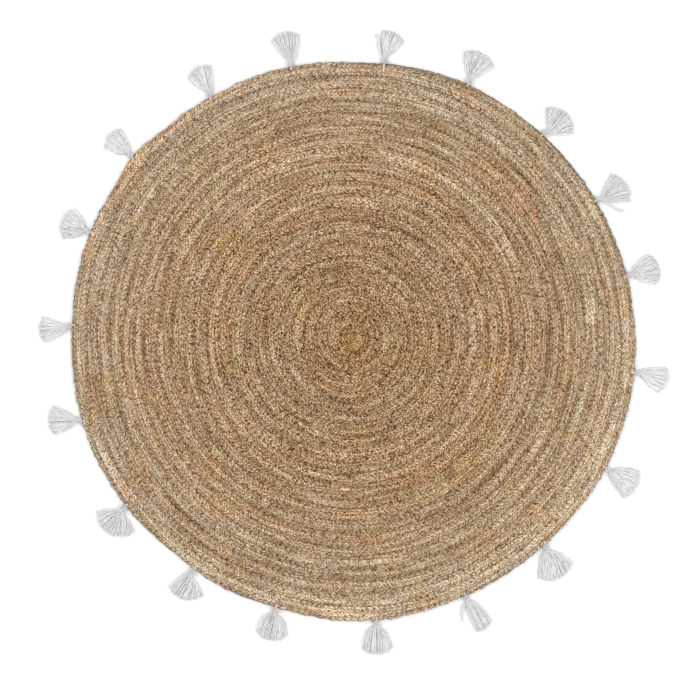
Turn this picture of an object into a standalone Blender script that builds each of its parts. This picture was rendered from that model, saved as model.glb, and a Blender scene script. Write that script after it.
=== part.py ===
"""A round rug: one flat jute plait wound from the centre outwards, with white cotton tassels
round its edge. Metres, +Z up. The origin is the coil's centre, on the underside, and the rug
lies on z = 0. Bearings are degrees counterclockwise from +X, seen from above."""

import math
from collections import namedtuple

import bmesh
import bpy
from mathutils import Vector

MM = 0.001

# The coil
PLAIT_WIDTH = 25.8 * MM  # one turn of the coil moves out by this much
COIL_TURNS = 23.8
START_BEARING = 162.0  # where the plait begins, at the centre
TAIL_TURNS = 90 / 360  # the plait's last stretch, thinned out strand by strand
TAIL_THINNING = 1.5  # above 1, the tail keeps its width at first
GROOVE_HEIGHT = 6.0 * MM  # the top of the seam between two turns
CREST_HEIGHT = 9.6 * MM
CREST_SHARE = 0.4  # how far across a turn its highest line runs, from the inner seam
RIM_UNDERCUT = 2.6 * MM  # the rim's foot stands this much inside its widest line
STEPS_PER_TURN = 70

# Where the turns were pulled out or in as they were sewn: the bearing, how many degrees it
# reaches to each side, how far the plait moves out, and the turn from which it shows.
Pull = namedtuple("Pull", "bearing reach out from_turn")
PULLS = (
    Pull(40, 50, -6.5 * MM, 19),
    Pull(15, 30, -2.0 * MM, 21),
    Pull(66, 10, 2.5 * MM, 21),
    Pull(88, 12, -2.5 * MM, 21),
    Pull(109, 10, 2.0 * MM, 21),
    Pull(140, 30, 5.0 * MM, 10),
    Pull(140, 8, 6.5 * MM, 21),
    Pull(163, 16, 3.8 * MM, 21),
    Pull(202, 24, 3.6 * MM, 21),
    Pull(231, 12, -4.2 * MM, 21),
    Pull(253, 10, -3.5 * MM, 21),
    Pull(275, 18, 4.0 * MM, 21),
    Pull(335, 32, 5.0 * MM, 21),
)
PULL_FULL_TURN = 22.8  # from this turn outwards a pull has its whole size

# A tassel: its own +X points away from the rug, from the tip of the head.
# The head's sections: the distance from its tip, half its width, and its lowest and highest line.
Section = namedtuple("Section", "along half_width bottom top")
HEAD = (
    Section(0.0 * MM, 2.2 * MM, 3.0 * MM, 7.6 * MM),
    Section(2.6 * MM, 5.8 * MM, 0.6 * MM, 10.4 * MM),
    Section(7.4 * MM, 6.4 * MM, 0.0 * MM, 11.2 * MM),
    Section(10.6 * MM, 4.4 * MM, 1.5 * MM, 9.3 * MM),
    Section(15.4 * MM, 4.4 * MM, 1.5 * MM, 9.3 * MM),
)
NECK = HEAD[3]
HEAD_SIDES = 8
SKIRT_START = Section(20.0 * MM, 7.2 * MM, 0.0 * MM, 9.0 * MM)
STRANDS = 13  # by turns in the lower and the upper layer
STRAND_SHARE = 0.7  # of the room that a strand has at its tip
STRAND_WIDTHS = (3.4 * MM, 9.0 * MM)  # the narrowest and widest tip
LOWER_TIP = (0.0 * MM, 3.5 * MM)  # a tip's lowest and highest line, in each layer
UPPER_TIP = (4.0 * MM, 7.2 * MM)
UPPER_SHORTER = 2.5 * MM
EDGE_SHORTER = 5.0 * MM  # the strands grow shorter by this towards the skirt's two sides
BENT_FROM = 60.0  # a skirt whose strands lean more than this has each bent on its way,
BEND_AT = 0.36  # at this share of its length,
BEND = 0.72  # and it leans by this share of its angle until there
RUG_CLEARANCE = 0.6 * MM

# The wrap round a tassel's neck
WRAP_LENGTH = 3.8 * MM
WRAP_CLEARANCE = 0.35 * MM
WRAP_THICKNESS = 1.15 * MM

# Edges flatter than this, in degrees, are shaded smooth.
COIL_SMOOTH = 50
HEAD_SMOOTH = 30

# Each tassel: its bearing, how far its head leans, the angles to which its skirt spreads on its
# left and right, the skirt's length, and the angle of a lock that lies apart from the rest.
# These angles are counterclockwise, from pointing straight out of the rug.
Tassel = namedtuple("Tassel", "bearing lean spread_left spread_right skirt loose_lock")
TASSELS = (
    Tassel(102.5, -8, 33, -33, 61 * MM, None),
    Tassel(83.0, 4, 17, -46, 55 * MM, 31),
    Tassel(65.1, 5, 42, -40, 58 * MM, None),
    Tassel(46.6, -20, 50, -53, 55 * MM, None),
    Tassel(29.1, -11, 41, -43, 61 * MM, -59),
    Tassel(12.4, 5, 40, -35, 58 * MM, None),
    Tassel(352.8, 6, 19, -41, 59 * MM, None),
    Tassel(333.0, -16, 31, -38, 64 * MM, None),
    Tassel(313.4, -33, 21, -62, 65 * MM, None),
    Tassel(294.0, -3, 29, -13, 67 * MM, -41),
    Tassel(275.2, -5, 32, -38, 58 * MM, None),
    Tassel(254.5, 2, 46, -31, 57 * MM, None),
    Tassel(236.1, -8, 65, -25, 55 * MM, None),
    Tassel(216.8, 14, 84, -35, 56 * MM, None),
    Tassel(197.3, -22, 18, -53, 57 * MM, None),
    Tassel(177.5, 21, 38, -22, 56 * MM, None),
    Tassel(157.9, 5, 43, -42, 53 * MM, None),
    Tassel(140.6, -13, 29, -35, 54 * MM, None),
    Tassel(120.5, -25, 30, -36, 56 * MM, None),
)


def smoothstep(value):
    value = min(max(value, 0.0), 1.0)
    return value * value * (3 - 2 * value)


def pulled_out(bearing, turn):
    """How far the sewing moved the plait out here."""
    total = 0.0
    for pull in PULLS:
        away = (bearing - pull.bearing + 180) % 360 - 180
        if abs(away) < pull.reach:
            bell = (1 + math.cos(math.pi * away / pull.reach)) / 2
            share = (turn - pull.from_turn) / (PULL_FULL_TURN - pull.from_turn)
            total += pull.out * bell * smoothstep(share)
    return total


def seam_radius(turn):
    """The distance from the centre of the seam line, this many turns along it. The last turn
    of the line is the rug's rim."""
    thinned = min(max((turn - (COIL_TURNS - TAIL_TURNS)) / TAIL_TURNS, 0.0), 1.0)
    radius = PLAIT_WIDTH * (turn - thinned**TAIL_THINNING)
    return radius + pulled_out(START_BEARING + 360 * turn, turn)


def rim_radius(bearing):
    """The distance from the centre of the rug's edge at this bearing."""
    past_start = (bearing - START_BEARING) / 360
    turn = past_start + math.floor(COIL_TURNS - past_start)
    return seam_radius(turn)


def around(turn, radius, height):
    """The point at this radius and height, this many turns along the coil."""
    bearing = math.radians(START_BEARING + 360 * turn)
    return Vector((radius * math.cos(bearing), radius * math.sin(bearing), height))


def make_material(name, color, roughness):
    material = bpy.data.materials.new(name)
    material.use_nodes = True
    shader = material.node_tree.nodes["Principled BSDF"]
    shader.inputs["Base Color"].default_value = (*color, 1)
    shader.inputs["Roughness"].default_value = roughness
    shader.inputs["Metallic"].default_value = 0
    return material


def finished_mesh(name, bm, material, smooth_below):
    """The shape as a mesh; edges flatter than smooth_below degrees are shaded smooth."""
    bmesh.ops.recalc_face_normals(bm, faces=bm.faces)
    mesh = bpy.data.meshes.new(name)
    bm.to_mesh(mesh)
    bm.free()
    mesh.materials.append(material)
    mesh.shade_smooth()
    mesh.set_sharp_from_angle(angle=math.radians(smooth_below))
    return mesh


def new_object(name, data=None):
    obj = bpy.data.objects.new(name, data)
    bpy.context.scene.collection.objects.link(obj)
    return obj


def make_coil(material):
    """The plait as one flat-bottomed solid: each turn is a ridge between two seams."""
    bm = bmesh.new()
    plait_steps = round((COIL_TURNS - 1) * STEPS_PER_TURN)
    seams = []
    for step in range(plait_steps + STEPS_PER_TURN):
        turn = step / STEPS_PER_TURN
        # The first turn has no hollow in its middle.
        height = CREST_HEIGHT + (GROOVE_HEIGHT - CREST_HEIGHT) * smoothstep(turn)
        seams.append(bm.verts.new(around(turn, seam_radius(turn), height)))
    seams.append(seams[plait_steps])  # the tail ends in the rim
    crests = []
    for step in range(plait_steps):
        turn = step / STEPS_PER_TURN
        inner, outer = seam_radius(turn), seam_radius(turn + 1)
        fullness = min((outer - inner) / PLAIT_WIDTH, 1.0)
        height = GROOVE_HEIGHT + (CREST_HEIGHT - GROOVE_HEIGHT) * fullness
        crests.append(bm.verts.new(around(turn, inner + CREST_SHARE * (outer - inner), height)))
    for step in range(plait_steps - 1):
        ahead = step + STEPS_PER_TURN
        bm.faces.new((seams[step], crests[step], crests[step + 1], seams[step + 1]))
        bm.faces.new((crests[step], seams[ahead], seams[ahead + 1], crests[step + 1]))
    last = plait_steps - 1
    bm.faces.new((seams[last], crests[last], seams[plait_steps]))
    bm.faces.new((crests[last], seams[last + STEPS_PER_TURN], seams[plait_steps]))

    # Inside the first turn
    for step in range(1, STEPS_PER_TURN):
        bm.faces.new((seams[0], seams[step], seams[step + 1]))
    bm.faces.new((seams[0], seams[STEPS_PER_TURN], crests[0]))

    # The rim's side, and the underside
    rim = seams[plait_steps : plait_steps + STEPS_PER_TURN]
    foot = []
    for top in rim:
        flat = Vector((top.co.x, top.co.y, 0))
        foot.append(bm.verts.new(flat - flat.normalized() * RIM_UNDERCUT))
    for here in range(STEPS_PER_TURN):
        there = (here + 1) % STEPS_PER_TURN
        bm.faces.new((rim[here], foot[here], foot[there], rim[there]))
    bm.faces.new(foot)
    return new_object("rug_coil", finished_mesh("rug_coil", bm, material, COIL_SMOOTH))


def ring_points(section, grow=0.0):
    """The corners of a section with a flat foot, grown by this much all round."""
    middle = (section.bottom + section.top) / 2
    half_height = (section.top - section.bottom) / 2 + grow
    corner = 1 / math.cos(math.pi / HEAD_SIDES)
    points = []
    for side in range(HEAD_SIDES):
        angle = 2 * math.pi * (side + 0.5) / HEAD_SIDES
        across = (section.half_width + grow) * corner * math.sin(angle)
        up = half_height * corner * math.cos(angle)
        points.append(Vector((section.along, across, middle + up)))
    return points


def add_ring(bm, points):
    """A closed loop of edges through the points."""
    verts = [bm.verts.new(point) for point in points]
    return [bm.edges.new((verts[i - 1], verts[i])) for i in range(len(verts))]


def strand_angles(tassel):
    """Each strand's angle from the head's own direction, from the clockwise side round."""
    right, left = tassel.spread_right, tassel.spread_left
    angles = [right + (left - right) * i / (STRANDS - 1) for i in range(STRANDS)]
    if tassel.loose_lock is not None:
        angles[-1 if tassel.loose_lock > left else 0] = tassel.loose_lock
    return [angle - tassel.lean for angle in angles]


def strand_corners(distance, degrees, width, heights):
    """A strand's section at this distance: low right, low left, high left and high right."""
    angle = math.radians(degrees)
    middle = Vector((SKIRT_START.along + distance * math.cos(angle), distance * math.sin(angle), 0))
    side = Vector((-math.sin(angle), math.cos(angle), 0)) * width / 2
    low, high = (Vector((0, 0, height)) for height in heights)
    return middle - side + low, middle + side + low, middle + side + high, middle - side + high


def corner_index(point, middle):
    """Which of a section's four corners this is."""
    if point.z < middle.z:
        return 0 if point.y < middle.y else 1
    return 2 if point.y > middle.y else 3


def grow_strand(bm, root, sections):
    """Extrudes a strand from its root face through its sections."""
    middle = root.calc_center_median()
    order = [corner_index(vert.co, middle) for vert in root.verts]
    face = root
    for corners in sections:
        face = bmesh.ops.extrude_discrete_faces(bm, faces=[face])["faces"][0]
        for vert, index in zip(face.verts, order):
            vert.co = corners[index]


def add_head(bm):
    """The head, from its tip to the face from which the skirt grows. Returns that face's cells,
    by column and layer."""
    grid = bmesh.ops.create_grid(bm, x_segments=STRANDS, y_segments=2, size=1)["verts"]
    half_width, height = SKIRT_START.half_width, SKIRT_START.top - SKIRT_START.bottom
    cells = {}
    for face in bm.faces:
        middle = face.calc_center_median()
        cells[int((middle.x + 1) / 2 * STRANDS), int(middle.y > 0)] = face
    for vert in grid:
        across, up = vert.co.x * half_width, (vert.co.y + 1) / 2 * height
        vert.co = (SKIRT_START.along, across, SKIRT_START.bottom + up)
    outline = [edge for edge in bm.edges if edge.is_boundary]
    rings = [add_ring(bm, ring_points(section)) for section in HEAD]
    bmesh.ops.contextual_create(bm, geom=rings[0])
    for near, far in zip(rings, [*rings[1:], outline]):
        bmesh.ops.bridge_loops(bm, edges=near + far)
    return cells


def make_tassel(name, tassel, material):
    """The head with its skirt, whose strands lie in two layers, the upper over the gaps."""
    bm = bmesh.new()
    cells = add_head(bm)
    angles = strand_angles(tassel)
    spread = math.radians(tassel.spread_left - tassel.spread_right)
    room = 2 * tassel.skirt * spread / (STRANDS - 1)  # between two neighbours in one layer
    width = min(max(STRAND_SHARE * room, STRAND_WIDTHS[0]), STRAND_WIDTHS[1])
    bent = max(abs(angle) for angle in angles) > BENT_FROM
    for column, angle in enumerate(angles):
        layer = column % 2
        heights = (LOWER_TIP, UPPER_TIP)[layer]
        off_middle = abs(2 * column / (STRANDS - 1) - 1)
        reach = tassel.skirt - UPPER_SHORTER * layer - EDGE_SHORTER * off_middle**2
        sections = [strand_corners(reach, angle, width, heights)]
        if bent:
            near = strand_corners(BEND_AT * reach, BEND * angle, BEND_AT * width, heights)
            sections.insert(0, near)
        grow_strand(bm, cells[column, layer], sections)
    return new_object(name, finished_mesh(name, bm, material, HEAD_SMOOTH))


def make_wrap(material):
    """The mesh of a neck's wrap, a short sleeve."""
    bm = bmesh.new()
    near = NECK._replace(along=(HEAD[3].along + HEAD[4].along - WRAP_LENGTH) / 2)
    far = NECK._replace(along=near.along + WRAP_LENGTH)
    inside, outside = WRAP_CLEARANCE, WRAP_CLEARANCE + WRAP_THICKNESS
    profile = ((near, inside), (near, outside), (far, outside), (far, inside))
    rings = [add_ring(bm, ring_points(section, grow)) for section, grow in profile]
    for i, ring in enumerate(rings):
        bmesh.ops.bridge_loops(bm, edges=rings[i - 1] + ring)
    return finished_mesh("wrap", bm, material, HEAD_SMOOTH)


def place_on_rim(obj, tassel, parent):
    """Stands the object's own origin at the rim, turned the way that the tassel's head points."""
    lean = math.radians(tassel.lean)
    # A leaning head is moved out until its shoulders clear the rug's edge.
    nearest = min(
        section.along * math.cos(lean) - section.half_width * abs(math.sin(lean))
        for section in HEAD
    )
    radius = rim_radius(tassel.bearing) + RUG_CLEARANCE - nearest
    bearing = math.radians(tassel.bearing)
    obj.location = (radius * math.cos(bearing), radius * math.sin(bearing), 0)
    obj.rotation_euler = (0, 0, bearing + lean)
    obj.parent = parent


def main():
    for obj in list(bpy.data.objects):
        bpy.data.objects.remove(obj)
    jute = make_material("jute", (0.38, 0.26, 0.15), 0.95)
    cotton = make_material("cotton", (0.83, 0.81, 0.79), 0.92)
    rug = new_object("rug")
    make_coil(jute).parent = rug
    wrap = make_wrap(cotton)
    for number, tassel in enumerate(TASSELS, start=1):
        place_on_rim(make_tassel(f"tassel_{number:02d}", tassel, cotton), tassel, rug)
        place_on_rim(new_object(f"binding_{number:02d}", wrap), tassel, rug)


main()
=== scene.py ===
"""The looks of a round jute rug with cotton tassels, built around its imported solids: the plait
as three real strands laid over each other along the coil, the jute down between them, and each
tassel's yarns, neck binding and tie. Metres, +Z up, in the solids' own frame. Bearings are
degrees counterclockwise from +X, seen from above."""

import math
from collections import namedtuple

import bmesh
import bpy
import numpy as np
from bpy.props import FloatProperty, FloatVectorProperty, IntProperty, PointerProperty
from mathutils import Matrix, Vector


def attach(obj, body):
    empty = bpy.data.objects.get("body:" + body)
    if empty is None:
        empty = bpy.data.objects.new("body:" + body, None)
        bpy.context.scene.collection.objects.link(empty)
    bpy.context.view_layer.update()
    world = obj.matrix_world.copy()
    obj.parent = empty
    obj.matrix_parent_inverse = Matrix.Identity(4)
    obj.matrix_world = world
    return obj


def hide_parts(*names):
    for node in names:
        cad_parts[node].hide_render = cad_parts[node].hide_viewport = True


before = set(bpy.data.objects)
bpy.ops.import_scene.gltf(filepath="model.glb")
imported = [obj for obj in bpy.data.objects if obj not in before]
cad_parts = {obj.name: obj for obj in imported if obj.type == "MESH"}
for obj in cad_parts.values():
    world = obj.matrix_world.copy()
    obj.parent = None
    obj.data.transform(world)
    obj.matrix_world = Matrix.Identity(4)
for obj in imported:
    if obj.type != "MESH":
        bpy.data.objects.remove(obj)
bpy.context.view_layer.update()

bl_info = {
    "name": "Round jute rug",
    "version": (1, 0, 0),
    "blender": (4, 5, 0),
    "location": "View3D > Sidebar > Rug",
    "description": "Builds a plaited round jute rug with cotton tassels, and a plain studio",
    "category": "Add Mesh",
}

MM = 0.001

# ---- The coil's course, as in the solids ----

PLAIT_WIDTH = 25.8 * MM  # one turn of the coil moves out by this much
COIL_TURNS = 23.8
COIL_RADIUS = 0.6  # near enough, for what changes from the coil's middle to its edge
START_BEARING = 162.0
TAIL_TURNS = 90 / 360  # the plait's end is thinned out over this part of a turn
TAIL_THINNING = 1.5  # above 1, the end keeps its width for longer
PULL_FULL_TURN = 22.8  # where each pull below has its whole reach

# Where the turns were pulled out or in as they were sewn: the bearing, how many degrees it
# reaches to each side, how far out, and the turn at which it begins.
Pull = namedtuple("Pull", "bearing reach out from_turn")
PULLS = (
    Pull(40, 50, -6.5 * MM, 19),
    Pull(15, 30, -2.0 * MM, 21),
    Pull(66, 10, 2.5 * MM, 21),
    Pull(88, 12, -2.5 * MM, 21),
    Pull(109, 10, 2.0 * MM, 21),
    Pull(140, 30, 5.0 * MM, 10),
    Pull(140, 8, 6.5 * MM, 21),
    Pull(163, 16, 3.8 * MM, 21),
    Pull(202, 24, 3.6 * MM, 21),
    Pull(231, 12, -4.2 * MM, 21),
    Pull(253, 10, -3.5 * MM, 21),
    Pull(275, 18, 4.0 * MM, 21),
    Pull(335, 32, 5.0 * MM, 21),
)

# Each tassel: its bearing, its head's lean, the angles its skirt spreads to on its left and
# right, the skirt's length, and the angle of a lock that lies apart. How far its tie is
# stitched in over the edge, and how far its sides bow out (above 0) or draw in.
Tassel = namedtuple("Tassel", "bearing lean spread_left spread_right skirt loose_lock stitch bow")
TASSELS = (
    Tassel(102.5, -8, 33, -33, 61 * MM, None, 4 * MM, 0.25),
    Tassel(83.0, 4, 20, -46, 55 * MM, 26, 17 * MM, 0.15),
    Tassel(65.1, 5, 42, -40, 58 * MM, None, 5 * MM, 0.15),
    Tassel(46.6, -20, 50, -53, 55 * MM, None, 3 * MM, 0.2),
    Tassel(29.1, -11, 41, -43, 61 * MM, -59, 3 * MM, 0.2),
    Tassel(12.4, 5, 40, -35, 58 * MM, None, 4 * MM, 0.4),
    Tassel(352.8, 6, 19, -41, 59 * MM, None, 5 * MM, 0.3),
    Tassel(333.0, -16, 31, -38, 64 * MM, None, 5 * MM, 0.5),
    Tassel(313.4, -33, 21, -62, 65 * MM, None, 4 * MM, 0.6),
    Tassel(294.0, -3, 29, -13, 67 * MM, -41, 3 * MM, 0.8),
    Tassel(275.2, -5, 32, -38, 58 * MM, None, 4 * MM, 0.95),
    Tassel(254.5, 2, 46, -31, 57 * MM, None, 5 * MM, 0.95),
    Tassel(236.1, -8, 65, -25, 55 * MM, None, 3 * MM, 0.6),
    Tassel(216.8, 14, 84, -35, 56 * MM, None, 3 * MM, 0.2),
    Tassel(197.3, -22, 18, -53, 57 * MM, None, 4 * MM, 0.3),
    Tassel(177.5, 21, 38, -22, 56 * MM, None, 4 * MM, 0.3),
    Tassel(157.9, 5, 43, -42, 53 * MM, None, 3 * MM, 0.5),
    Tassel(140.6, -13, 29, -35, 54 * MM, None, 4 * MM, 0.5),
    Tassel(120.5, -25, 30, -36, 56 * MM, None, 4 * MM, 0.5),
)

# The outline of a tassel's head in the solids, from its tip on, and its room to the rug's edge
Section = namedtuple("Section", "along half_width")
HEAD = (
    Section(0.0 * MM, 2.2 * MM),
    Section(2.6 * MM, 5.8 * MM),
    Section(7.4 * MM, 6.4 * MM),
    Section(10.6 * MM, 4.4 * MM),
    Section(15.4 * MM, 4.4 * MM),
)
RUG_CLEARANCE = 0.6 * MM

# ---- The plait ----

PLAIT_SEED = 7
STRANDS = 3
STRAND_SIDES = 6  # of a strand's section
TUCKED_START = -0.85  # in turns: the plait's own start lies inside the first turn
COURSE_POINTS = 24000  # at which the coil's length is measured
PLAIT_MIDDLE = 5.0 * MM  # the height about which the strands rise and fall
STRAIGHTNESS = 0.92  # towards 1, a strand runs straight from side to side and turns sharply
FLOOR_GAP = 0.1 * MM

# Lengths of the plait whose jute is of another lot: from and to in turns of the coil, how much
# paler (above 0) or darker it is, and how much redder (above 0) or greener.
Lot = namedtuple("Lot", "from_turn to_turn paler redder")
LOTS = (
    Lot(13.398, 13.404, -0.5, 0.1),
    Lot(14.65, 14.90, 0.2, 0.0),
    Lot(16.65, 16.71, 0.0, 0.15),
    Lot(17.64, 17.70, 0.0, 0.2),
    Lot(18.65, 18.72, -0.05, 0.2),
    Lot(19.56, 19.575, 0.3, -0.3),
    Lot(20.26, 20.50, 0.1, 0.0),
    Lot(20.80, 21.15, -0.05, 0.0),
    Lot(21.25, 21.50, 0.12, 0.0),
    Lot(21.70, 21.73, 0.0, 0.2),
    Lot(21.745, 21.768, 0.05, -0.3),
    Lot(21.77, 21.80, 0.0, 0.2),
    Lot(21.85, 22.18, -0.05, 0.0),
    Lot(22.285, 22.315, 0.3, 0.1),
    Lot(22.36, 22.50, 0.1, 0.0),
    Lot(22.523, 22.536, 0.35, -0.3),
    Lot(22.70, 22.735, 0.0, 0.25),
    Lot(22.74, 22.755, 0.05, -0.3),
)
LOT_FADE = 9 * MM  # over which a lot starts and ends

# The sheet of jute that shows between the strands
GROUND_SIDES = 420
GROUND_INSET = 4.5 * MM  # from the rug's edge
GROUND_BOTTOM = 3.6 * MM
GROUND_THICKNESS = 1.0 * MM

# The jute's colours as on a screen, 0 to 255. The first go from the coil's middle to its edge.
JUTE_OUTWARDS = (
    (0.0, (173, 137, 90)),
    (0.045, (172, 137, 92)),
    (0.09, (170, 138, 103)),
    (0.4, (176, 145, 112)),
    (0.7, (177, 150, 120)),
    (1.0, (172, 152, 129)),
)
HONEY = (194, 146, 82)
MOSS = (176, 158, 114)
RUST = (202, 134, 78)
GREY_STRAW = (170, 160, 132)
PALE_STRAW = (232, 208, 170)
BARK = (112, 78, 48)
FLECK = (92, 54, 26)
# The darkest that the painted shade may make the jute
DEEPEST_PAINTED_SHADE = (62, 38, 18)
# The ground's jute, painted dark as the shade down between the strands
SHADED_GROUND_DARK = (96, 68, 42)
SHADED_GROUND_LIGHT = (176, 138, 98)

# ---- The tassels' yarns ----

# A yarn's tone goes from 0, as dark as the painted shade in the cotton's grooves, to 1, as light as
# the cotton. The neck's wrap is painted in shade.
WRAP_TONE = 0.1
TIE_TONE = 0.9

TASSEL_SEED = 100  # each tassel adds its number
COTTON_PLIES = 3
YARN_TWIST = 160  # turns of the plies in a metre
YARN_SIDES = 5
YARN_POINTS = 13  # along a yarn of the skirt
YARN_CLEARANCE = 1.0 * MM  # from the floor to a yarn's middle
LAYERS_HEIGHT = 6.2 * MM  # from the skirt's lowest yarn to its highest
LOCK_SHARE = 0.11  # of the skirt's yarns are in its loose lock
LOCK_SPREAD = 5.5  # degrees, to each side
SKIRT_START = 12.5 * MM  # from the head's tip
NECK_REACH = 5.5 * MM  # the skirt's yarns hang together for this far

# A yarn folded over the head: how far from the tip, and how far out it swells, in mm
HEAD_YARN = (
    (14.0, 2.9),
    (12.4, 2.9),
    (11.0, 3.3),
    (9.4, 4.6),
    (7.6, 5.1),
    (5.4, 5.0),
    (3.4, 4.0),
    (2.0, 2.0),
    (0.6, 0.8),
)
HEAD_YARNS = 13
HEAD_HEIGHT = 5.6 * MM  # of the head's middle over the floor
HEAD_WIDENING = 1.3  # of the head's ball, from side to side
HEAD_CLEARANCE = 1.3 * MM  # from the floor to a yarn's middle

# The thread wound round the neck
THREAD_TWIST = 260  # turns of the plies in a metre
WRAP_TURNS = 3.6
WRAP_POINTS = 58
WRAP_SIDES = 6
WRAP_START = 11.3 * MM  # from the head's tip
WRAP_LENGTH = 3.0 * MM
WRAP_RADIUS = 4.1 * MM
WRAP_HEIGHT = 5.5 * MM  # of its middle over the floor
WRAP_THREAD = 1.5 * MM
WRAP_CLEARANCE = 0.9 * MM  # from the floor to the thread's middle

# The two threads of a tie: how far from the head's tip they start, and how far apart they lie,
# from the middle between them, at the rug's edge and at the stitch. Their heights at the tip,
# at the edge, on top of the plait and down in it.
TIE_THREAD = 1.4 * MM
TIE_START = 1.5 * MM
TIE_EDGE_CLEARANCE = 0.2 * MM
TIE_APART_AT_EDGE = 1.0 * MM
TIE_APART_AT_STITCH = 0.7 * MM
TIE_HEIGHTS = (5.6 * MM, 8.6 * MM, 9.9 * MM, 6.0 * MM)

# ---- The stage ----

FLOOR_HALF_SIZE = 30
FLOOR_DROP = 0.3 * MM
LAMPS = (("lamp_left", (-2.6, 1.8, 3.2)), ("lamp_right", (2.6, -1.2, 3.2)))
LAMP_SIZE = 2.0
SENSOR_WIDTH = 36
VIEW_CENTRE = (-1.6 * MM, -27.4 * MM)
RUG_TOP = 9 * MM  # the height at which the view's width is measured


def smoothstep(value):
    value = np.clip(value, 0.0, 1.0)
    return value * value * (3 - 2 * value)


def pulled_out(bearing, turn):
    """How far the sewing moved the plait out, at these bearings and turns."""
    total = np.zeros_like(turn)
    for pull in PULLS:
        away = (bearing - pull.bearing + 180) % 360 - 180
        bell = np.where(np.abs(away) < pull.reach, (1 + np.cos(np.pi * away / pull.reach)) / 2, 0)
        share = (turn - pull.from_turn) / (PULL_FULL_TURN - pull.from_turn)
        total += pull.out * bell * smoothstep(share)
    return total


def seam_radius(turn):
    """The distance from the centre of the seam line, this many turns along it."""
    thinned = np.clip((turn - (COIL_TURNS - TAIL_TURNS)) / TAIL_TURNS, 0.0, 1.0)
    radius = PLAIT_WIDTH * (turn - thinned**TAIL_THINNING)
    return radius + pulled_out(START_BEARING + 360 * turn, turn)


def rim_radius(bearing):
    """The distance from the centre of the rug's edge, at these bearings."""
    past_start = (np.asarray(bearing, dtype=float) - START_BEARING) / 360
    return seam_radius(past_start + np.floor(COIL_TURNS - past_start))


def wander(rng, count, every):
    """A smooth random line of this many values, about 0, with a new direction every so many."""
    knots = rng.normal(size=int(count / every) + 3)
    at = np.arange(count) / every
    low = at.astype(int)
    mix = smoothstep(at - low)
    return knots[low] * (1 - mix) + knots[low + 1] * mix


# ---- Making pieces ----


def new_object(name, data):
    obj = bpy.data.objects.new(name, data)
    bpy.context.scene.collection.objects.link(obj)
    return obj


def ellipse_profile(width, height, sides):
    """A closed outline for a tube's section."""
    curve = bpy.data.curves.new("profile", "CURVE")
    spline = curve.splines.new("POLY")
    spline.points.add(sides - 1)
    spline.use_cyclic_u = True
    for i, point in enumerate(spline.points):
        angle = 2 * math.pi * i / sides
        point.co = (width / 2 * math.cos(angle), height / 2 * math.sin(angle), 0, 1)
    return new_object("profile", curve)


def make_tubes(name, paths, sizes, section, sides, values):
    """One mesh of tubes along these paths, each an array of points. sizes scales the section at
    every point, and values holds named arrays with a number for every point of each path."""
    profile = ellipse_profile(*section, sides)
    curve = bpy.data.curves.new(name, "CURVE")
    curve.dimensions = "3D"
    curve.twist_mode = "Z_UP"
    curve.bevel_mode = "OBJECT"
    curve.bevel_object = profile
    for path, size in zip(paths, sizes):
        spline = curve.splines.new("POLY")
        spline.points.add(len(path) - 1)
        spline.points.foreach_set("co", np.column_stack([path, np.ones(len(path))]).ravel())
        spline.points.foreach_set("radius", size)
    drawn = new_object(name, curve)
    graph = bpy.context.evaluated_depsgraph_get()
    mesh = bpy.data.meshes.new_from_object(drawn.evaluated_get(graph))
    bpy.data.objects.remove(drawn)
    bpy.data.objects.remove(profile)

    # The tubes' own map: how far round, and how far along in metres.
    along = []
    for path in paths:
        steps = np.linalg.norm(np.diff(path, axis=0), axis=1)
        along.append(np.concatenate([[0], np.cumsum(steps)]))
    along = np.repeat(np.concatenate(along), sides)
    corners = np.empty(len(mesh.loops), dtype=np.int32)
    mesh.loops.foreach_get("vertex_index", corners)
    uv = np.empty(2 * len(mesh.loops), dtype=np.float32)
    mesh.uv_layers[0].data.foreach_get("uv", uv)
    uv[0::2], uv[1::2] = uv[1::2].copy(), along[corners]
    mesh.uv_layers[0].data.foreach_set("uv", uv)
    for key, lines in values.items():
        attribute = mesh.attributes.new(key, "FLOAT", "POINT")
        attribute.data.foreach_set("value", np.repeat(np.concatenate(lines), sides))

    bm = bmesh.new()
    bm.from_mesh(mesh)
    bmesh.ops.holes_fill(bm, edges=[e for e in bm.edges if e.is_boundary], sides=0)
    bmesh.ops.recalc_face_normals(bm, faces=bm.faces)
    bm.to_mesh(mesh)
    bm.free()
    mesh.shade_smooth()
    mesh.name = name
    return new_object(name, mesh)


def finish_piece(obj, material, slot, *replaced):
    """Gives a piece its material and its place in the rug."""
    obj.data.materials.clear()
    obj.data.materials.append(material)
    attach(obj, "root")
    if replaced:
        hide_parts(*replaced)
    return obj


# ---- Materials ----


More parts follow.
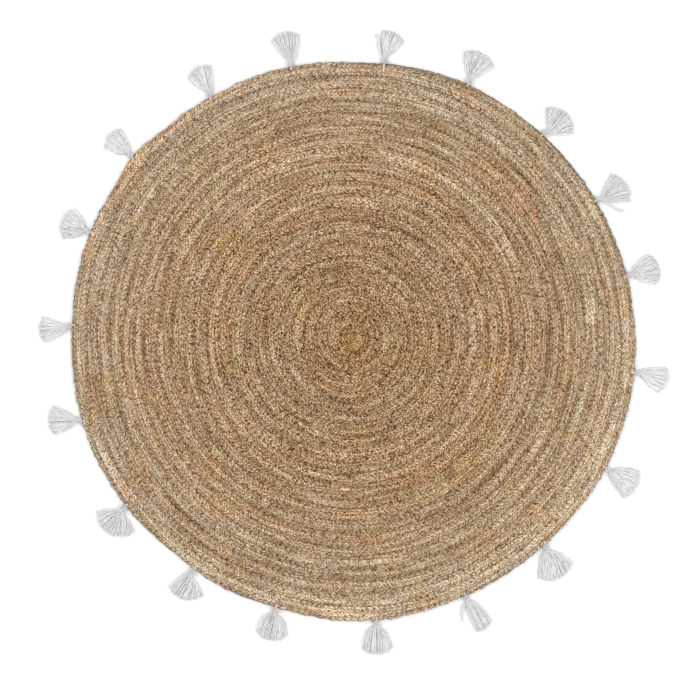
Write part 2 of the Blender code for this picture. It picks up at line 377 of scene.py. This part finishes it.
class Graph:
    """Writes shader nodes in short lines."""

    def __init__(self, tree):
        self.tree = tree

    def node(self, kind, inputs=None, **settings):
        node = self.tree.nodes.new(kind)
        for key, value in settings.items():
            setattr(node, key, value)
        for key, value in (inputs or {}).items():
            socket = node.inputs[key]
            if isinstance(value, bpy.types.NodeSocket):
                self.tree.links.new(value, socket)
            else:
                socket.default_value = value
        return node

    def math(self, operation, *values):
        inputs = dict(enumerate(values))
        return self.node("ShaderNodeMath", inputs, operation=operation).outputs[0]

    def mix(self, factor, a, b, blend="MIX"):
        node = self.node("ShaderNodeMix", data_type="RGBA", blend_type=blend)
        for index, value in ((0, factor), (6, a), (7, b)):
            if isinstance(value, bpy.types.NodeSocket):
                self.tree.links.new(value, node.inputs[index])
            elif index:
                node.inputs[index].default_value = (*value[:3], 1)
            else:
                node.inputs[index].default_value = value
        return node.outputs[2]

    def noise(self, vector, scale, detail, rough=0.5):
        values = {"Vector": vector, "Scale": scale, "Detail": detail, "Roughness": rough}
        return self.node("ShaderNodeTexNoise", values).outputs["Fac"]

    def ramp(self, value, *stops):
        node = self.node("ShaderNodeValToRGB", {"Fac": value})
        elements = node.color_ramp.elements
        elements[0].position, elements[0].color = stops[0][0], (*stops[0][1], 1)
        elements[1].position, elements[1].color = stops[-1][0], (*stops[-1][1], 1)
        for position, color in stops[1:-1]:
            elements.new(position).color = (*color, 1)
        return node.outputs["Color"]

    def spread(self, value, low, high, to_low=0.0, to_high=1.0):
        """A smooth step from to_low, where the value is low, to to_high, where it is high."""
        inputs = {"Value": value, "From Min": low, "From Max": high}
        inputs |= {"To Min": to_low, "To Max": to_high}
        node = self.node("ShaderNodeMapRange", inputs, interpolation_type="SMOOTHSTEP")
        return node.outputs["Result"]

    def bump(self, shader, height, strength, distance):
        inputs = {"Height": height, "Strength": strength, "Distance": distance}
        normal = self.node("ShaderNodeBump", inputs).outputs["Normal"]
        self.tree.links.new(normal, shader.inputs["Normal"])


def new_group(name, inputs, outputs):
    """An empty shader group, its inputs and outputs, and where to write its nodes."""
    tree = bpy.data.node_groups.new(name, "ShaderNodeTree")
    for label, default in inputs:
        kind = "NodeSocketColor" if isinstance(default, tuple) else "NodeSocketFloat"
        socket = tree.interface.new_socket(label, in_out="INPUT", socket_type=kind)
        socket.default_value = (*default, 1) if isinstance(default, tuple) else default
    for label, kind in outputs:
        tree.interface.new_socket(label, in_out="OUTPUT", socket_type=kind)
    graph = Graph(tree)
    return graph, graph.node("NodeGroupInput").outputs, graph.node("NodeGroupOutput").inputs


def make_yarn_group():
    """A strand of twisted yarns that follows a tube's own map: its grooves and fibres."""
    graph, given, out = new_group(
        "Twisted yarns",
        [("Yarns", 6.0), ("Twist per metre", 16.0), ("Fibre length", 8.0), ("Radius", 4 * MM)],
        [(name, "NodeSocketFloat") for name in ("Height", "Groove", "Fibre", "Clump")],
    )
    uv = graph.node("ShaderNodeUVMap", uv_map="UVMap").outputs["UV"]
    parts = graph.node("ShaderNodeSeparateXYZ", {"Vector": uv}).outputs
    around, along = parts["X"], parts["Y"]
    turned = graph.math("MULTIPLY_ADD", along, given["Twist per metre"], around)
    angle = graph.math("MULTIPLY", turned, 2 * math.pi)
    # Each yarn is a rounded ridge with a narrow groove on both sides.
    wave = graph.math("MULTIPLY", graph.math("MULTIPLY", angle, given["Yarns"]), 0.5)
    yarn = graph.math("POWER", graph.math("ABSOLUTE", graph.math("SINE", wave)), 0.7)
    # The noise turns with the yarns. It is drawn out along them, far for fibres, less for clumps.
    across = graph.math("MULTIPLY", graph.math("COSINE", angle), given["Radius"])
    up = graph.math("MULTIPLY", graph.math("SINE", angle), given["Radius"])
    slow = graph.math("DIVIDE", along, given["Fibre length"])
    place = graph.node("ShaderNodeCombineXYZ", {"X": across, "Y": up, "Z": slow}).outputs[0]
    fibre = graph.noise(place, scale=1100.0, detail=3.0, rough=0.6)
    near = graph.math("DIVIDE", along, 1.6)
    place = graph.node("ShaderNodeCombineXYZ", {"X": across, "Y": up, "Z": near}).outputs[0]
    clump = graph.noise(place, scale=480.0, detail=0.0)
    height = graph.math("MULTIPLY_ADD", fibre, 0.55, graph.math("MULTIPLY", yarn, 0.6))
    graph.tree.links.new(height, out["Height"])
    graph.tree.links.new(yarn, out["Groove"])
    graph.tree.links.new(fibre, out["Fibre"])
    graph.tree.links.new(clump, out["Clump"])
    return graph.tree


def new_material(name, roughness):
    material = bpy.data.materials.new(name)
    material.use_nodes = True
    shader = material.node_tree.nodes["Principled BSDF"]
    shader.inputs["Roughness"].default_value = roughness
    return material, Graph(material.node_tree), shader


def linear(color):
    """A colour as seen on a screen, 0 to 255, as the light it stands for."""
    values = np.asarray(color) / 255
    return tuple(np.where(values <= 0.04045, values / 12.92, ((values + 0.055) / 1.055) ** 2.4))


def jute_color(graph, place, value):
    """Golden towards the coil's middle and sandy towards its edge, in patches and in lots."""
    stops = [(at, linear(color)) for at, color in JUTE_OUTWARDS]
    color = graph.ramp(value["ripeness"], *stops)
    golden = graph.noise(place, scale=9.0, detail=3.0, rough=0.7)
    color = graph.mix(graph.spread(golden, 0.5, 0.68, 0, 0.34), color, linear(HONEY))
    green = graph.noise(place, scale=19.0, detail=2.0, rough=0.6)
    most_green = graph.spread(value["ripeness"], 0.03, 0.15, 0.0, 0.5)
    color = graph.mix(graph.spread(green, 0.52, 0.7, 0, most_green), color, linear(MOSS))
    # Lots of other jute, and the painted light and shade across the plait that paler also carries,
    # turn the colour towards pale straw or bark.
    for name, sign, lot_color in (
        ("redder", 1, RUST),
        ("redder", -1, GREY_STRAW),
        ("paler", 1, PALE_STRAW),
        ("paler", -1, BARK),
    ):
        amount = graph.math("MAXIMUM", graph.math("MULTIPLY", value[name], sign), 0.0)
        color = graph.mix(amount, color, linear(lot_color))
    fleck = graph.noise(place, scale=170.0, detail=1.0)
    return graph.mix(graph.spread(fleck, 0.65, 0.71, 0, 0.8), color, linear(FLECK))


def jute_shade(graph, place, value, yarn):
    """How light the jute is: its own grain and streaks, with painted shade from 0 down in its
    hollows and painted light above 1 on its crests.
    """
    uv = graph.node("ShaderNodeUVMap", uv_map="UVMap").outputs["UV"]
    around = graph.node("ShaderNodeSeparateXYZ", {"Vector": uv}).outputs["X"]
    top = graph.math("SINE", graph.math("MULTIPLY", around, 2 * math.pi))
    level = {0: place, 1: (1, 1, 0)}
    level = graph.node("ShaderNodeVectorMath", level, operation="MULTIPLY").outputs[0]
    radius = graph.node("ShaderNodeVectorMath", {0: level}, operation="LENGTH").outputs["Value"]
    # How far across its plait this point lies: 0 in the plait's middle and 0.5 on its seams
    across = graph.math("DIVIDE", graph.math("SUBTRACT", radius, value["seam"]), PLAIT_WIDTH)
    aside = graph.math("ABSOLUTE", graph.math("SUBTRACT", across, 0.5))
    # Streaks that run on along the coil, from strand to strand
    slow = graph.math("DIVIDE", value["course"], 40.0)
    course = graph.node("ShaderNodeCombineXYZ", {"X": radius, "Y": slow}).outputs[0]
    streak = graph.noise(course, scale=300.0, detail=1.0)
    grain = graph.noise(place, scale=480.0, detail=0.0)
    # Painted shade on a strand's own edges, where it dives under the next, and less of it along the
    # seam.
    edge = graph.spread(value["turning"], 0.3, 0.9, 0.32, 1.0)
    # The painted shade in the hollows is darker towards the coil's middle.
    hollow_shade = graph.spread(value["ripeness"], 0.35, 1.0, 0.1, 0.38)
    # Grain, clumps, fibres and streaks are the jute's own, their dips as dark as the painted shade
    # in the hollows. The rest is painted: shade on the strands' edges, in the yarns' grooves and on
    # the legs that lie under others; light along the plait's middle, and light along its seams
    # against the shade there.
    shade = 1.0
    for measure, low, high, shade_at_low, shade_at_high in (
        (graph.math("ABSOLUTE", top), 0.0, 0.6, edge, 1.08),
        (grain, 0.3, 0.48, hollow_shade, 1.07),
        (yarn["Groove"], 0.05, 0.75, hollow_shade, 1.2),
        (yarn["Clump"], 0.3, 0.48, hollow_shade, 1.15),
        (yarn["Fibre"], 0.3, 0.6, 0.75, 1.1),
        (streak, 0.4, 0.6, 0.72, 1.25),
        (value["raised"], 0.0, 1.0, 0.85, 1.05),
        (aside, 0.08, 0.3, 1.04, 0.92),
        (aside, 0.36, 0.5, 1.0, 1.28),
    ):
        factor = graph.spread(measure, low, high, shade_at_low, shade_at_high)
        shade = graph.math("MULTIPLY", shade, factor)
    return shade


def make_jute(yarn_group):
    """The plait's jute: sandy and golden lots and flecks, with painted shade down between the
    strands.
    """
    material, graph, shader = new_material("jute_strand", roughness=0.9)
    shader.inputs["Specular IOR Level"].default_value = 0.05
    yarn = graph.node(
        "ShaderNodeGroup",
        {"Yarns": 10, "Twist per metre": 2, "Fibre length": 7, "Radius": 7.5 * MM},
        node_tree=yarn_group,
    ).outputs
    value = {
        name: graph.node("ShaderNodeAttribute", attribute_name=name).outputs["Fac"]
        for name in ("paler", "redder", "raised", "turning", "ripeness", "course", "seam")
    }
    place = graph.node("ShaderNodeTexCoord").outputs["Object"]
    color = jute_color(graph, place, value)
    shade = jute_shade(graph, place, value, yarn)
    # The painted shade is browner where it darkens the hollows, and the painted light paler where
    # it lights the crests.
    shade_in_hollows, light_on_crests = graph.math("MINIMUM", shade, 1.0), graph.math("MAXIMUM", shade, 1.0)
    channels = {}
    for channel, down, up in (("Red", 0.75, 0.85), ("Green", 1.0, 1.0), ("Blue", 1.5, 1.25)):
        darker, lighter = graph.math("POWER", shade_in_hollows, down), graph.math("POWER", light_on_crests, up)
        channels[channel] = graph.math("MULTIPLY", darker, lighter)
    shade_tint = graph.node("ShaderNodeCombineColor", channels).outputs[0]
    shaded = graph.mix(1.0, color, shade_tint, "MULTIPLY")
    # The painted shade goes no darker than a deep brown.
    shaded = graph.mix(1.0, shaded, linear(DEEPEST_PAINTED_SHADE), "LIGHTEN")
    graph.tree.links.new(shaded, shader.inputs["Base Color"])
    graph.bump(shader, yarn["Height"], strength=1.0, distance=0.9 * MM)
    return material


def make_ground_jute():
    """The jute seen down between the strands, painted darker than the strands' own as the shade
    down there.
    """
    material, graph, shader = new_material("jute_ground", roughness=1.0)
    place = graph.node("ShaderNodeTexCoord").outputs["Object"]
    fibre = graph.noise(place, scale=420.0, detail=3.0, rough=0.6)
    color = graph.mix(fibre, linear(SHADED_GROUND_DARK), linear(SHADED_GROUND_LIGHT))
    graph.tree.links.new(color, shader.inputs["Base Color"])
    graph.bump(shader, fibre, strength=0.8, distance=0.8 * MM)
    return material


def make_cotton(name, twist, settings):
    """Soft white cotton, with painted shade down between its plies, and darker where its tone is
    low.
    """
    material, graph, shader = new_material(name, roughness=0.95)
    shader.inputs["Sheen Weight"].default_value = 0.2
    shader.inputs["Sheen Roughness"].default_value = 0.6
    yarn = graph.node(
        "ShaderNodeGroup",
        {"Yarns": COTTON_PLIES, "Twist per metre": twist, "Fibre length": 3, "Radius": 1.0 * MM},
        node_tree=bpy.data.node_groups["Twisted yarns"],
    ).outputs
    tone = graph.node("ShaderNodeAttribute", attribute_name="tone").outputs["Fac"]
    light = graph.math("MULTIPLY", graph.spread(yarn["Groove"], 0.0, 0.7), tone)
    shaded = graph.mix(light, settings.shadow, settings.color)
    graph.tree.links.new(shaded, shader.inputs["Base Color"])
    graph.bump(shader, yarn["Height"], strength=0.8, distance=0.4 * MM)
    return material


# ---- The user's sizes ----


class CoilSettings(bpy.types.PropertyGroup):
    crossing: FloatProperty(
        name="Crossing",
        description="How far apart the strands cross, along the plait",
        default=11.6 * MM,
        unit="LENGTH",
    )
    strand_width: FloatProperty(
        name="Strand width", description="Width of one strand", default=18 * MM, unit="LENGTH"
    )
    strand_height: FloatProperty(
        name="Strand height", description="Thickness of one strand", default=5.2 * MM, unit="LENGTH"
    )
    steps: IntProperty(
        name="Steps", description="Points on a strand between two of its own crossings", default=12
    )
    tilt: FloatProperty(
        name="Tilt",
        description="How far the plait's inner side is lifted over the turn inside it",
        default=0.3 * MM,
        unit="LENGTH",
    )
    overlap: FloatProperty(
        name="Overlap",
        description="How far each side of the plait reaches over the seam",
        default=3.7 * MM,
        unit="LENGTH",
    )


class TasselSettings(bpy.types.PropertyGroup):
    yarns: IntProperty(name="Yarns", description="Yarns in a tassel's skirt", default=84)
    yarn_width: FloatProperty(
        name="Yarn width", description="Width of one yarn", default=1.9 * MM, unit="LENGTH"
    )
    color: FloatVectorProperty(
        name="Cotton",
        description="The cotton's colour",
        subtype="COLOR",
        default=(0.96, 0.95, 0.945),
    )
    shadow: FloatVectorProperty(
        name="Cotton's grooves",
        description="The cotton's colour down between its plies",
        subtype="COLOR",
        default=(0.61, 0.6, 0.6),
    )


class StageSettings(bpy.types.PropertyGroup):
    view_width: FloatProperty(
        name="View width",
        description="How much floor the picture shows",
        default=1.4958,
        unit="LENGTH",
    )
    lens: FloatProperty(name="Lens", description="Focal length", default=100, unit="CAMERA")
    sky: FloatProperty(name="Sky light", description="Even light from all round", default=0.75)
    lamp: FloatProperty(
        name="Lamp power", description="Power of each soft lamp", default=60, unit="POWER"
    )


# ---- Pieces ----


class RUG_OT_lay_ground(bpy.types.Operator):
    """The jute down between the plait's strands, as one low round mat"""

    bl_idname = "rug.lay_ground"
    bl_label = "Lay the ground"

    def execute(self, context):
        bm = bmesh.new()
        bmesh.ops.create_circle(bm, cap_ends=True, segments=GROUND_SIDES, radius=1)
        for vert in bm.verts:
            bearing = math.atan2(vert.co.y, vert.co.x)
            radius = float(rim_radius(math.degrees(bearing))) - GROUND_INSET
            vert.co = (radius * math.cos(bearing), radius * math.sin(bearing), GROUND_BOTTOM)
        grown = bmesh.ops.extrude_face_region(bm, geom=bm.faces[:])["geom"]
        top = [item for item in grown if isinstance(item, bmesh.types.BMVert)]
        bmesh.ops.translate(bm, verts=top, vec=(0, 0, GROUND_THICKNESS))
        bmesh.ops.recalc_face_normals(bm, faces=bm.faces)
        mesh = bpy.data.meshes.new("rug_ground")
        bm.to_mesh(mesh)
        bm.free()
        finish_piece(new_object("rug_ground", mesh), make_ground_jute(), "jute", "rug_coil")
        return {"FINISHED"}


def coil_course(crossing, steps):
    """The plait's course, at this many points for each repeat of its crossings: how far along
    it, how many turns, and the distances from the centre of the seams inside and outside it."""
    turn = np.linspace(TUCKED_START, COIL_TURNS - 1, COURSE_POINTS)
    inner = np.where(turn > 0, seam_radius(np.maximum(turn, 0)), 0)
    outer = seam_radius(turn + 1)
    middle = (inner + outer) / 2
    arcs = np.pi * np.diff(turn) * (middle[1:] + middle[:-1])
    length = np.concatenate([[0], np.cumsum(arcs)])
    count = int(length[-1] / (STRANDS * crossing) * steps)
    at = np.linspace(0, length[-1], count)
    return at, *(np.interp(at, length, line) for line in (turn, inner, outer))


def lots_along(at, turn):
    """How much paler, and how much redder, the lots of jute make the plait along it."""
    paler, redder = np.zeros(len(at)), np.zeros(len(at))
    for lot in LOTS:
        start, stop = np.interp((lot.from_turn, lot.to_turn), turn, at)
        begun = smoothstep((at - start + LOT_FADE) / LOT_FADE)
        inside = begun * smoothstep((stop - at + LOT_FADE) / LOT_FADE)
        paler += lot.paler * inside
        redder += lot.redder * inside
    return paler, redder


class RUG_OT_plait_coil(bpy.types.Operator):
    """The plait's three strands, wound into the coil"""

    bl_idname = "rug.plait_coil"
    bl_label = "Plait the coil"

    def execute(self, context):
        rug = context.scene.round_rug.coil
        rng = np.random.default_rng(PLAIT_SEED)
        at, turn, inner, outer = coil_course(rug.crossing, rug.steps)
        middle, half = (inner + outer) / 2, (outer - inner) / 2
        fullness = np.clip(2 * half / PLAIT_WIDTH, 0.12, 1.05)
        bearing = np.radians(START_BEARING + 360 * turn)

        def drift(amount, every):
            return amount * wander(rng, len(at), every)

        # The plait's crossings draw together and apart along it.
        slack = drift(0.5, 2.5 * rug.steps) + drift(3.5, 20 * rug.steps)
        # How worn and pale the plait's middle, outer side and inner side are along it, and how
        # red its two sides are.
        outward = 0.7 + 0.7 * (middle / COIL_RADIUS) ** 2
        worn_middle, worn_outer, worn_inner = (
            outward * (drift(0.08, 16 * rug.steps) + drift(0.07, 50 * rug.steps)) for _ in range(3)
        )
        red_outer, red_inner = (drift(0.09, 8 * rug.steps) for _ in range(2))
        lots_paler, lots_redder = lots_along(at, turn)
        jute = make_jute(make_yarn_group())
        for number in range(STRANDS):
            repeats = at / (STRANDS * rug.crossing) + number / STRANDS
            phase = 2 * np.pi * repeats + slack + drift(0.16, 7)
            # Where the strand lies, from -1 on the plait's inner side to 1 on its outer side, and
            # how far it is over (1) or under (-1) the others
            side = np.arcsin(STRAIGHTNESS * np.sin(phase)) / math.asin(STRAIGHTNESS)
            over = -np.sin(2 * phase)
            size = fullness * (1 - 0.1 * side**4) * (1 + drift(0.08, 4))
            reach = half - fullness * (0.45 * rug.strand_width - rug.overlap)
            radius = middle + side * reach + drift(0.55 * MM, 4)
            lift = (0.5 * rug.strand_height - 0.4 * MM) * over - rug.tilt * side
            lift += 0.4 * MM * side**4 + drift(0.25 * MM, 4)
            lowest = 0.5 * rug.strand_height * size + FLOOR_GAP
            height = np.maximum(PLAIT_MIDDLE + fullness * lift, lowest)
            path = np.column_stack([radius * np.cos(bearing), radius * np.sin(bearing), height])

            # One leg of the strand, from edge to edge, has one tone.
            leg = np.floor(phase / np.pi + 0.5).astype(int)
            leg -= leg.min()
            tones = rng.normal(size=(2, leg.max() + 1))
            ripeness = radius / COIL_RADIUS
            on_outer, on_inner = np.maximum(side, 0), np.maximum(-side, 0)
            paler = 0.04 * tones[0][leg] + drift(0.03, 12) + drift(0.05, 300) - 0.05
            # Paler towards the coil's edge; and painted light and shade across the plait: its
            # lifted inner side paler, and its sides lighter near the coil's middle and darker near
            # its edge.
            paler += ripeness * (0.12 - 0.05 * side) + (0.12 - 0.28 * ripeness) * side**2
            paler += worn_middle * (1 - np.abs(side))
            paler += worn_outer * on_outer + worn_inner * on_inner
            redder = 0.03 * tones[1][leg] + drift(0.06, 30) + drift(0.06, 300)
            redder += red_outer * on_outer + red_inner * on_inner
            values = {
                "paler": paler + lots_paler,
                "redder": redder + lots_redder,
                "raised": 0.5 + 0.5 * over,
                "turning": side**2,
                "ripeness": ripeness,
                "course": at,
                "seam": inner,
            }
            strand = make_tubes(
                f"strand_{number + 1}",
                [path],
                [size],
                (rug.strand_width, rug.strand_height),
                STRAND_SIDES,
                {key: [line] for key, line in values.items()},
            )
            finish_piece(strand, jute, "jute", "rug_coil")
        return {"FINISHED"}


def tassel_frame(tassel):
    """Where a tassel's own origin stands, and the way that its head points."""
    lean = math.radians(tassel.lean)
    nearest = min(
        section.along * math.cos(lean) - section.half_width * abs(math.sin(lean))
        for section in HEAD
    )
    radius = float(rim_radius(tassel.bearing)) + RUG_CLEARANCE - nearest
    bearing = math.radians(tassel.bearing)
    place = Vector((radius * math.cos(bearing), radius * math.sin(bearing), 0))
    return Matrix.Translation(place) @ Matrix.Rotation(bearing + lean, 4, "Z")


def moved(points, matrix):
    """The points carried from a tassel's own frame to the rug's."""
    matrix = np.array(matrix)
    return points @ matrix[:3, :3].T + matrix[:3, 3]


def skirt_yarns(tassel, count, rng):
    """A skirt's yarns in the tassel's own frame: the course, tones and sizes of each."""
    share = (np.arange(count) + rng.uniform(0.1, 0.9, count)) / count
    angle = tassel.spread_right + (tassel.spread_left - tassel.spread_right) * share
    if tassel.loose_lock is not None:
        lock_on_left = tassel.loose_lock > tassel.spread_left
        lock = share > 1 - LOCK_SHARE if lock_on_left else share < LOCK_SHARE
        angle[lock] = tassel.loose_lock + rng.uniform(-LOCK_SPREAD, LOCK_SPREAD, lock.sum())
    angle = np.radians(angle - tassel.lean)
    middle = np.radians((tassel.spread_left + tassel.spread_right) / 2 - tassel.lean)
    half = np.radians((tassel.spread_left - tassel.spread_right) / 2)
    layer = rng.permutation(count) / count
    t = np.linspace(0, 1, YARN_POINTS) ** 1.2  # the points stand closer near the neck
    paths, tones = [], []
    for i in range(count):
        # How far from the skirt's middle (0) to its left (1) or right (-1) this yarn lies
        off = (angle[i] - middle) / half
        reach = tassel.skirt * (1 - 0.07 * off**2) + rng.uniform(-3.0, 2.0) * MM
        forward = (reach + 4.5 * MM) * math.cos(angle[i])
        # It hangs with the others out of the neck, and then swings apart.
        swing = min(NECK_REACH / forward, 0.3)
        apart = np.maximum((t - swing) / (1 - swing), 0)
        bowed = apart ** (1 / (1 + 1.6 * tassel.bow))
        wave_size, wave_count = rng.uniform(0.4, 1.0) * MM, rng.uniform(1.2, 2.6)
        waves = wave_size * np.sin(2 * np.pi * (t * wave_count + rng.uniform()))
        bundle = np.clip(off, -1, 1) * (2.4 + 3.2 * smoothstep(t / 0.1)) * (1 - 0.75 * t) * MM
        x = SKIRT_START + forward * t
        y = bundle + math.sin(angle[i]) * reach * bowed + waves * smoothstep(t / 0.3)
        start = 2.2 * MM + LAYERS_HEIGHT * layer[i]
        end = 1.0 * MM + LAYERS_HEIGHT * layer[i] * (1 - 0.4 * abs(off))
        z = start + (end - start) * smoothstep(t) + 0.5 * MM * np.sin(np.pi * t) * rng.normal()
        paths.append(np.column_stack([x, y, np.maximum(z, YARN_CLEARANCE)]))
        # Each yarn's tone differs at random, and painted shade darkens it towards the neck, where
        # the yarns crowd.
        tones.append(rng.uniform(0.45, 1.0) * (0.4 + 0.6 * smoothstep(t / 0.6)))
    size = np.interp(np.linspace(0, 1, YARN_POINTS), [0, 0.3, 0.85, 1], [0.8, 1, 1, 0.6])
    return paths, tones, [size] * count


def head_yarns(rng):
    """The yarns folded over the tassel's tip, and a core that fills them: the course, tones
    and sizes of each."""
    paths, tones, sizes = [], [], []
    x, swell = np.array(HEAD_YARN).T * MM
    wide = np.interp(x, [5.0 * MM, 11.0 * MM], [HEAD_WIDENING, 1.0])
    size = np.interp(np.linspace(0, 1, len(x)), [0, 0.5, 0.8, 1], [1.0, 1.45, 1.2, 0.6])
    for i in range(HEAD_YARNS):
        turned = 2 * math.pi * (i + rng.uniform(-0.15, 0.15)) / HEAD_YARNS
        y = swell * math.cos(turned) * wide
        z = HEAD_HEIGHT + 0.95 * swell * math.sin(turned)
        paths.append(np.column_stack([x, y, np.maximum(z, HEAD_CLEARANCE)]))
        # Painted shade: the head's yarns get low tones, greying the head against the skirt's same
        # cotton.
        tones.append(np.full(len(x), rng.uniform(0.0, 0.25)))
        sizes.append(size)
    core = np.array([[2.4, 0, 5.6], [6.5, 0, 5.6], [12.0, 0, 5.4], [19.0, 0, 5.0]]) * MM
    paths.append(core)
    # The core is painted in full shade.
    tones.append(np.zeros(len(core)))
    sizes.append(np.array([2.4, 4.8, 2.8, 1.6]))
    return paths, tones, sizes


class RUG_OT_make_tassels(bpy.types.Operator):
    """The tassels: each one's head and its skirt of loose yarns"""

    bl_idname = "rug.make_tassels"
    bl_label = "Make the tassels"

    def execute(self, context):
        settings = context.scene.round_rug.tassels
        cotton = make_cotton("cotton_yarn", YARN_TWIST, settings)
        for number, tassel in enumerate(TASSELS, start=1):
            rng = np.random.default_rng(TASSEL_SEED + number)
            skirt = skirt_yarns(tassel, settings.yarns, rng)
            head = head_yarns(rng)
            paths, tones, sizes = (of_skirt + of_head for of_skirt, of_head in zip(skirt, head))
            matrix = tassel_frame(tassel)
            piece = make_tubes(
                f"tassel_yarns_{number:02d}",
                [moved(path, matrix) for path in paths],
                sizes,
                (settings.yarn_width, settings.yarn_width),
                YARN_SIDES,
                {"tone": tones},
            )
            finish_piece(piece, cotton, "cotton", f"tassel_{number:02d}")
        return {"FINISHED"}


def neck_wrap():
    """The course of the thread wound round a tassel's neck, in the tassel's own frame."""
    t = np.linspace(0, 1, WRAP_POINTS)
    angle = 2 * np.pi * WRAP_TURNS * t
    x = WRAP_START + WRAP_LENGTH * t
    y = WRAP_RADIUS * np.cos(angle)
    z = WRAP_HEIGHT + WRAP_RADIUS * np.sin(angle)
    return np.column_stack([x, y, np.maximum(z, WRAP_CLEARANCE)])


def tie_threads(tassel):
    """The courses of the two threads that tie a tassel's tip to the rug, side by side over its
    edge and down through the plait."""
    rim = float(rim_radius(tassel.bearing))
    bearing = math.radians(tassel.bearing)
    out = np.array([math.cos(bearing), math.sin(bearing), 0])
    aside = np.array([-out[1], out[0], 0])
    tip = np.array(tassel_frame(tassel) @ Vector((TIE_START, 0, HEAD_HEIGHT)))
    paths = []
    for way in (-1, 1):
        edge = out * (rim + TIE_EDGE_CLEARANCE) + aside * way * TIE_APART_AT_EDGE
        stitch = out * (rim - tassel.stitch) + aside * way * TIE_APART_AT_STITCH
        points = zip((tip, edge, stitch, stitch), TIE_HEIGHTS)
        paths.append(np.array([[*point[:2], height] for point, height in points]))
    return paths


class RUG_OT_wrap_necks(bpy.types.Operator):
    """The turns of cotton thread round each tassel's neck, and the thread that ties it on"""

    bl_idname = "rug.wrap_necks"
    bl_label = "Wrap the necks"

    def execute(self, context):
        cotton = make_cotton("cotton_thread", THREAD_TWIST, context.scene.round_rug.tassels)
        for number, tassel in enumerate(TASSELS, start=1):
            wrap = make_tubes(
                f"neck_wrap_{number:02d}",
                [moved(neck_wrap(), tassel_frame(tassel))],
                [np.ones(WRAP_POINTS)],
                (WRAP_THREAD, WRAP_THREAD),
                WRAP_SIDES,
                {"tone": [np.full(WRAP_POINTS, WRAP_TONE)]},
            )
            finish_piece(wrap, cotton, "cotton", f"binding_{number:02d}")
        ties = [path for tassel in TASSELS for path in tie_threads(tassel)]
        tie = make_tubes(
            "tassel_ties",
            ties,
            [np.ones(len(path)) for path in ties],
            (TIE_THREAD, TIE_THREAD),
            YARN_SIDES,
            {"tone": [np.full(len(path), TIE_TONE) for path in ties]},
        )
        finish_piece(tie, cotton, "cotton")
        return {"FINISHED"}


class RUG_OT_set_stage(bpy.types.Operator):
    """A plain white floor, soft light and a camera straight above"""

    bl_idname = "rug.set_stage"
    bl_label = "Set the stage"

    def execute(self, context):
        stage = context.scene.round_rug.stage
        bm = bmesh.new()
        bmesh.ops.create_grid(bm, x_segments=1, y_segments=1, size=FLOOR_HALF_SIZE)
        bmesh.ops.translate(bm, verts=bm.verts, vec=(0, 0, -FLOOR_DROP))
        mesh = bpy.data.meshes.new("floor")
        bm.to_mesh(mesh)
        bm.free()
        floor = new_object("floor", mesh)
        paper, _, shader = new_material("white_floor", roughness=0.9)
        shader.inputs["Base Color"].default_value = (0.93, 0.93, 0.93, 1)
        mesh.materials.append(paper)

        world = bpy.data.worlds.new("soft_sky")
        world.use_nodes = True
        sky = world.node_tree.nodes["Background"]
        sky.inputs["Color"].default_value = (1, 1, 1, 1)
        sky.inputs["Strength"].default_value = stage.sky
        context.scene.world = world
        for name, place in LAMPS:
            light = bpy.data.lights.new(name, "AREA")
            light.energy = stage.lamp
            light.size = LAMP_SIZE
            lamp = new_object(name, light)
            lamp.location = place
            lamp.rotation_euler = (-Vector(place)).to_track_quat("-Z", "Y").to_euler()

        camera = bpy.data.cameras.new("camera")
        camera.lens = stage.lens
        camera.sensor_width = SENSOR_WIDTH
        eye = new_object("camera", camera)
        eye.location = (*VIEW_CENTRE, stage.view_width * stage.lens / SENSOR_WIDTH + RUG_TOP)
        context.scene.camera = eye
        context.scene.view_settings.view_transform = "Standard"
        return {"FINISHED"}


# ---- The panel and the run ----


class RugSettings(bpy.types.PropertyGroup):
    coil: PointerProperty(type=CoilSettings)
    tassels: PointerProperty(type=TasselSettings)
    stage: PointerProperty(type=StageSettings)


class RUG_PT_panel(bpy.types.Panel):
    bl_label = "Round jute rug"
    bl_idname = "RUG_PT_panel"
    bl_space_type = "VIEW_3D"
    bl_region_type = "UI"
    bl_category = "Rug"

    def draw(self, context):
        rug = context.scene.round_rug
        for title, group, operators in (
            ("Coil", rug.coil, (RUG_OT_lay_ground, RUG_OT_plait_coil)),
            ("Tassels", rug.tassels, (RUG_OT_make_tassels, RUG_OT_wrap_necks)),
            ("Stage", rug.stage, (RUG_OT_set_stage,)),
        ):
            box = self.layout.box()
            box.label(text=title)
            for name in group.bl_rna.properties.keys():
                if name not in ("rna_type", "name"):
                    box.prop(group, name)
            for operator in operators:
                box.operator(operator.bl_idname)


CLASSES = (
    CoilSettings,
    TasselSettings,
    StageSettings,
    RugSettings,
    RUG_OT_lay_ground,
    RUG_OT_plait_coil,
    RUG_OT_make_tassels,
    RUG_OT_wrap_necks,
    RUG_OT_set_stage,
    RUG_PT_panel,
)


def register():
    for cls in CLASSES:
        bpy.utils.register_class(cls)
    bpy.types.Scene.round_rug = PointerProperty(type=RugSettings)


def unregister():
    del bpy.types.Scene.round_rug
    for cls in reversed(CLASSES):
        bpy.utils.unregister_class(cls)


def main():
    register()
    bpy.ops.rug.lay_ground()
    bpy.ops.rug.plait_coil()
    bpy.ops.rug.make_tassels()
    bpy.ops.rug.wrap_necks()
    bpy.ops.rug.set_stage()


if __name__ == "__main__":
    main()
